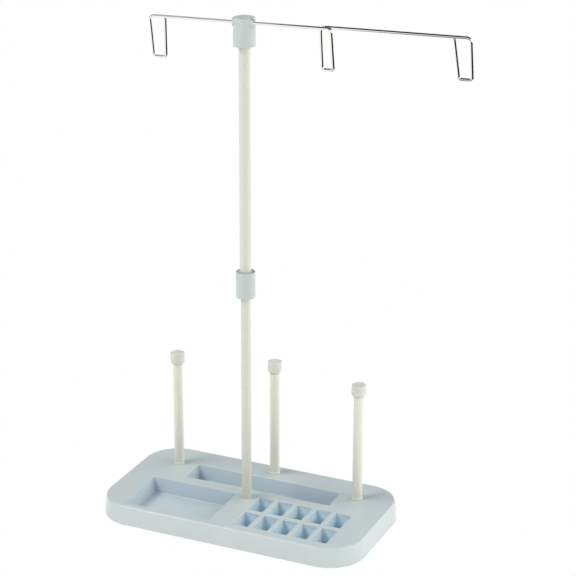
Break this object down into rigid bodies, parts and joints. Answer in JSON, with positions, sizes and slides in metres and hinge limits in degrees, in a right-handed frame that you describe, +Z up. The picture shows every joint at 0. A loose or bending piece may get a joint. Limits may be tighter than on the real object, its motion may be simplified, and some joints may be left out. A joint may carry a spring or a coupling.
{
  "type": "thread spool stand",
  "caption": "Free-standing thread spool stand: a hollow tray with bobbin slots, pockets and capped pins, and a telescopic pole that carries a turning bent-wire guide with loops.",
  "frame": {"origin": "on the table under the centre of the tray", "axes": "+X along the tray's long side towards the bobbin slots, +Y towards the middle spool pin, +Z up along the pole"},
  "size_m": [0.3777, 0.1616, 0.5466],
  "materials": {
    "tray_plastic": "satin moulded plastic, pale blue-grey",
    "pad_rubber": "matt",
    "pin_plastic": "satin, ivory",
    "cap_plastic": "satin, off-white",
    "screw_steel": "zinc plated",
    "insert_metal": "turned",
    "tube_paint": "smooth ivory coating",
    "plug_plastic": "natural nylon",
    "fitting_plastic": "satin moulded plastic, pale grey-green",
    "bush_plastic": "acetal",
    "guide_wire": "bright chrome-plated steel wire"
  },
  "bodies": {
    "base": {"base_tray": "tray_plastic", "rubber_pad_front_left": "pad_rubber", "rubber_pad_front_right": "pad_rubber", "rubber_pad_back_left": "pad_rubber", "rubber_pad_back_right": "pad_rubber", "spool_pin_left": "pin_plastic", "spool_pin_middle": "pin_plastic", "spool_pin_right": "pin_plastic", "pin_cap_left": "cap_plastic", "pin_cap_middle": "cap_plastic", "pin_cap_right": "cap_plastic", "pole_screw": "screw_steel", "pole_washer": "screw_steel", "pole_foot_insert": "insert_metal", "lower_tube": "tube_paint", "lower_tube_plug": "plug_plastic"},
    "slider": {"collar": "fitting_plastic", "grip_bush": "bush_plastic"},
    "upper": {"upper_tube": "tube_paint", "guide_head": "fitting_plastic"},
    "guide": {"thread_guide": "guide_wire"}
  },
  "joints": [
    {"name": "pole_slide", "type": "slide", "parent": "base", "child": "slider", "axis": [0, 0, 1], "range_m": [-0.228, 0.033]},
    {"name": "pole_swivel", "type": "hinge", "parent": "slider", "child": "upper", "pos_m": [-0.002, -0.005, 0.26], "axis": [0, 0, 1], "continuous": true},
    {"name": "guide_roll", "type": "hinge", "parent": "upper", "child": "guide", "pos_m": [-0.00153, -0.00917, 0.5421], "axis": [0.9936, 0.1132, 0], "continuous": true}
  ]
}
